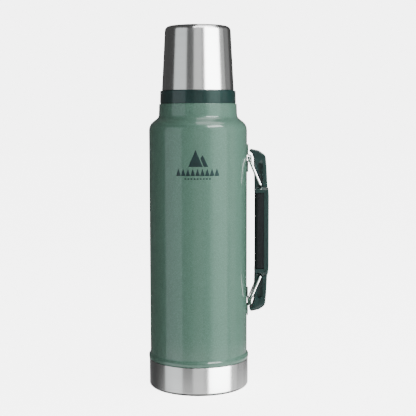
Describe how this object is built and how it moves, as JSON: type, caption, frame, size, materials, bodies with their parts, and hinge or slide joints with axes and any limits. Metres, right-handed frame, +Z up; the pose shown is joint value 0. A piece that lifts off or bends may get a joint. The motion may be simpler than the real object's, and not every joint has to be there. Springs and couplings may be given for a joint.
{
  "type": "vacuum flask",
  "caption": "Double-walled steel vacuum flask with a screw-on cup, a screw stopper and a side handle that pulls out on wire bails.",
  "frame": {"origin": "middle of the base's underside, where the flask stands", "axes": "+Z up along the flask's axis, +X out through the handle, +Y to the left of someone looking along +X"},
  "size_m": [0.124, 0.1032, 0.368],
  "materials": {
    "body_paint": "glossy fine-speckled hammertone paint",
    "brushed_steel": "brushed round the axis",
    "satin_steel": "satin",
    "reflective_foil": "bright copper-coloured foil",
    "solder_glass": "fused bead",
    "green_plastic": "moulded, semi-gloss",
    "liner_plastic": "moulded, satin",
    "grip_plastic": "soft-touch",
    "wire_steel": "bright drawn wire",
    "silicone": "matte",
    "foam": "rigid foam"
  },
  "bodies": {
    "flask": {"outer_shell": "body_paint", "inner_vessel": "satin_steel", "foil_wrap": "reflective_foil", "inner_bottom": "satin_steel", "outer_bottom": "satin_steel", "getter": "satin_steel", "port_seal": "solder_glass", "base_cup": "brushed_steel", "neck_collar": "green_plastic", "upper_bracket": "body_paint", "lower_bracket": "body_paint"},
    "cup_core": {"cup_foam": "foam"},
    "cup": {"cup_shell": "brushed_steel", "cup_liner": "liner_plastic"},
    "stopper_ring": {"stopper_gasket": "silicone"},
    "stopper": {"stopper_body": "liner_plastic", "stopper_head": "green_plastic", "stopper_foam": "foam"},
    "handle": {"handle_spine": "green_plastic", "handle_grip": "grip_plastic"},
    "upper_bail": {"upper_bail": "wire_steel"},
    "lower_bail": {"lower_bail": "wire_steel"}
  },
  "joints": [
    {"name": "cup_lift", "type": "slide", "parent": "flask", "child": "cup_core", "axis": [0, 0, 1], "range_m": [0, 0.03601]},
    {"name": "cup_turn", "type": "hinge", "parent": "cup_core", "child": "cup", "pos_m": [0, 0, 0.3036], "axis": [0, 0, 1], "range_deg": [0, 1440]},
    {"name": "stopper_lift", "type": "slide", "parent": "flask", "child": "stopper_ring", "axis": [0, 0, 1], "range_m": [0, 0.01001]},
    {"name": "stopper_turn", "type": "hinge", "parent": "stopper_ring", "child": "stopper", "pos_m": [0, 0, 0.3178], "axis": [0, 0, 1], "range_deg": [0, 900]},
    {"name": "handle_slide", "type": "slide", "parent": "flask", "child": "handle", "axis": [1, 0, 0], "range_m": [0, 0.016]},
    {"name": "upper_bail_swing", "type": "hinge", "parent": "flask", "child": "upper_bail", "pos_m": [0.0519, 0, 0.235], "axis": [0, -1, 0], "range_deg": [0, 38]},
    {"name": "lower_bail_swing", "type": "hinge", "parent": "flask", "child": "lower_bail", "pos_m": [0.0519, 0, 0.087], "axis": [0, 1, 0], "range_deg": [0, 38]}
  ],
  "couplings": [
    {"joint": "cup_lift", "follows": "cup_turn", "m_per_rad": 0.0014324},
    {"joint": "stopper_lift", "follows": "stopper_turn", "m_per_rad": 0.00063662},
    {"joint": "upper_bail_swing", "follows": "handle_slide", "rad_per_m": 41.36},
    {"joint": "lower_bail_swing", "follows": "handle_slide", "rad_per_m": 41.36}
  ]
}
